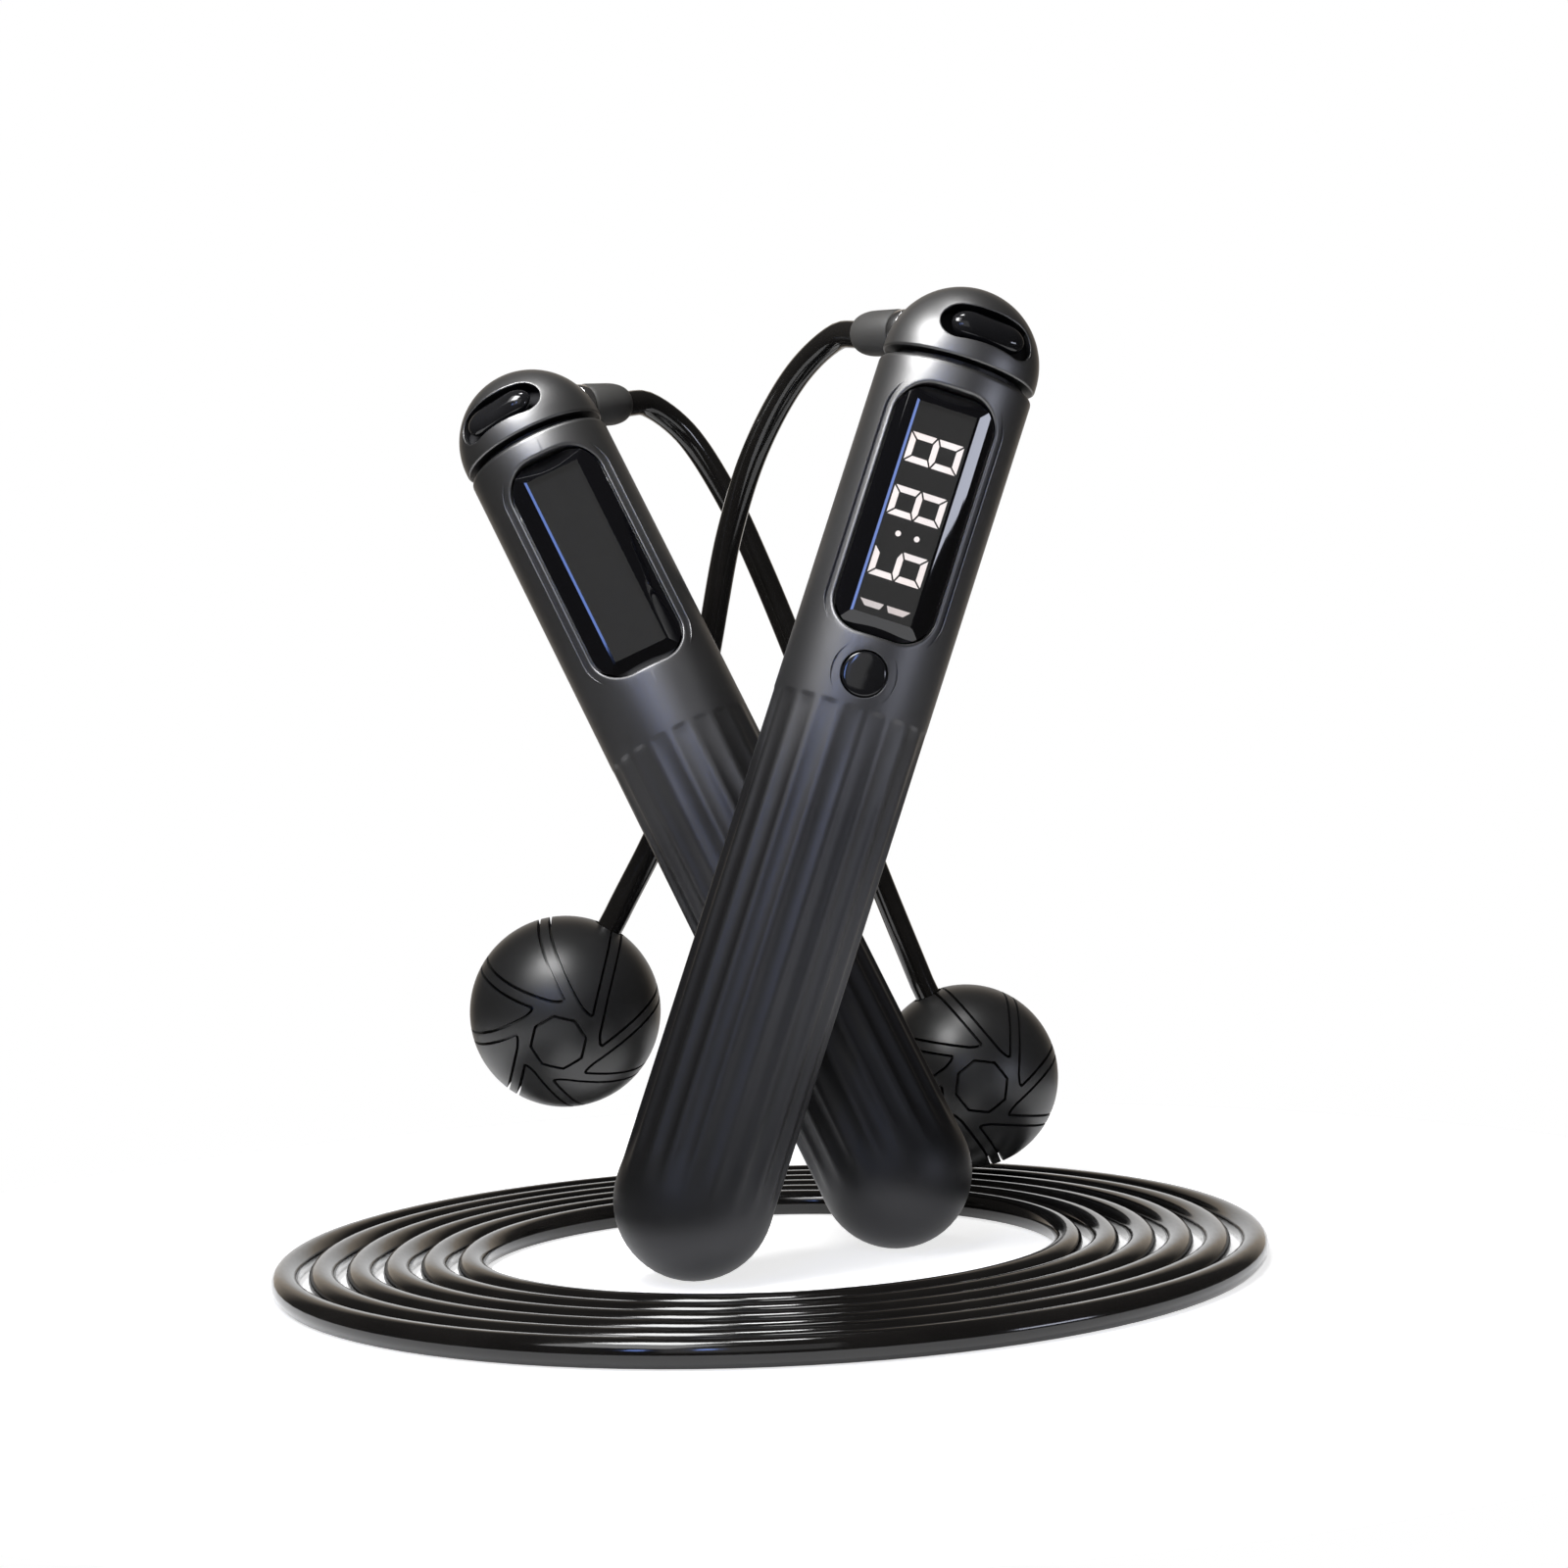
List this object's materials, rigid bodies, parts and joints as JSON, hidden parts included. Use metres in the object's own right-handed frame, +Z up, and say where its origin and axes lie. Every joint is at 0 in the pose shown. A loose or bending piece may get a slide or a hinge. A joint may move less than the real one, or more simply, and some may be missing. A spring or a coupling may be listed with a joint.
{
  "type": "jump rope set",
  "caption": "Cordless jump rope set: crossed grip handles with turning heads, a lit counter window, weighted balls on short cords, and a long rope coiled flat around the feet.",
  "frame": {"origin": "on the surface that the set stands on, under the middle of the crossed handles and their heads", "axes": "+Z up from that surface, -Y out of the display window towards the viewer, +X to the viewer's right"},
  "size_m": [0.1573, 0.1613, 0.1535],
  "materials": {
    "gunmetal_shell": "satin gunmetal, anodised",
    "dark_lens": "polished tinted window",
    "gloss_black": "polished black",
    "matte_black": "matte moulded black",
    "rope": "smooth glossy rope jacket",
    "lit_display": "lit white segments",
    "circuit_board": "green solder mask",
    "cell_wrap": "printed wrap, left plain",
    "ball_cover": "matte soft-touch black",
    "steel": "turned steel"
  },
  "bodies": {
    "rope_set": {"balance_weight": "steel", "battery_cell": "cell_wrap", "display_ball_core": "steel", "display_ball_cover": "ball_cover", "display_bearing_outer_race": "steel", "display_circuit_board": "circuit_board", "display_cord_crimp": "steel", "display_inner_frame": "matte_black", "display_led_module": "lit_display", "display_lens": "dark_lens", "display_neck_ring": "matte_black", "display_shell": "gunmetal_shell", "display_short_cord": "rope", "display_tact_switch": "matte_black", "display_turn_sensor": "matte_black", "long_rope_coil": "rope", "long_rope_inner_stop": "gloss_black", "long_rope_outer_stop": "gloss_black", "plain_ball_core": "steel", "plain_ball_cover": "ball_cover", "plain_bearing_outer_race": "steel", "plain_cord_crimp": "steel", "plain_inner_frame": "matte_black", "plain_lens": "dark_lens", "plain_lens_backing": "matte_black", "plain_neck_ring": "matte_black", "plain_shell": "gunmetal_shell", "plain_short_cord": "rope"},
    "display_head": {"display_dome": "gunmetal_shell", "display_rope_stop": "gloss_black", "display_collar": "matte_black", "display_collar_ring": "steel", "display_axle": "steel", "display_axle_clip": "steel", "display_bearing_inner_race": "steel", "display_magnet": "steel"},
    "plain_head": {"plain_dome": "gunmetal_shell", "plain_rope_stop": "gloss_black", "plain_collar": "matte_black", "plain_collar_ring": "steel", "plain_axle": "steel", "plain_axle_clip": "steel", "plain_bearing_inner_race": "steel"},
    "power_button": {"power_button": "gloss_black", "switch_plunger": "matte_black"},
    "display_ball_cage": {"display_bearing_balls": "steel"},
    "plain_ball_cage": {"plain_bearing_balls": "steel"}
  },
  "joints": [
    {"name": "display_head_spin", "type": "hinge", "parent": "rope_set", "child": "display_head", "pos_m": [0.03518, -0.01494, 0.14103], "axis": [0.3415, 0.0574, 0.9381], "continuous": true, "deforming": ["display_short_cord"]},
    {"name": "plain_head_spin", "type": "hinge", "parent": "rope_set", "child": "plain_head", "pos_m": [-0.03532, 0.02108, 0.13543], "axis": [-0.4089, 0.1663, 0.8973], "continuous": true, "deforming": ["plain_short_cord"]},
    {"name": "display_cage_spin", "type": "hinge", "parent": "rope_set", "child": "display_ball_cage", "pos_m": [0.03518, -0.01494, 0.14103], "axis": [0.3415, 0.0574, 0.9381], "continuous": true},
    {"name": "plain_cage_spin", "type": "hinge", "parent": "rope_set", "child": "plain_ball_cage", "pos_m": [-0.03532, 0.02108, 0.13543], "axis": [-0.4089, 0.1663, 0.8973], "continuous": true},
    {"name": "power_button_press", "type": "slide", "parent": "rope_set", "child": "power_button", "axis": [-0.0196, 0.9984, -0.0539], "range_m": [0, 0.0006], "stiffness_N_per_m": 2000}
  ],
  "couplings": [
    {"joint": "display_cage_spin", "follows": "display_head_spin", "ratio": 0.3864},
    {"joint": "plain_cage_spin", "follows": "plain_head_spin", "ratio": 0.3864}
  ]
}
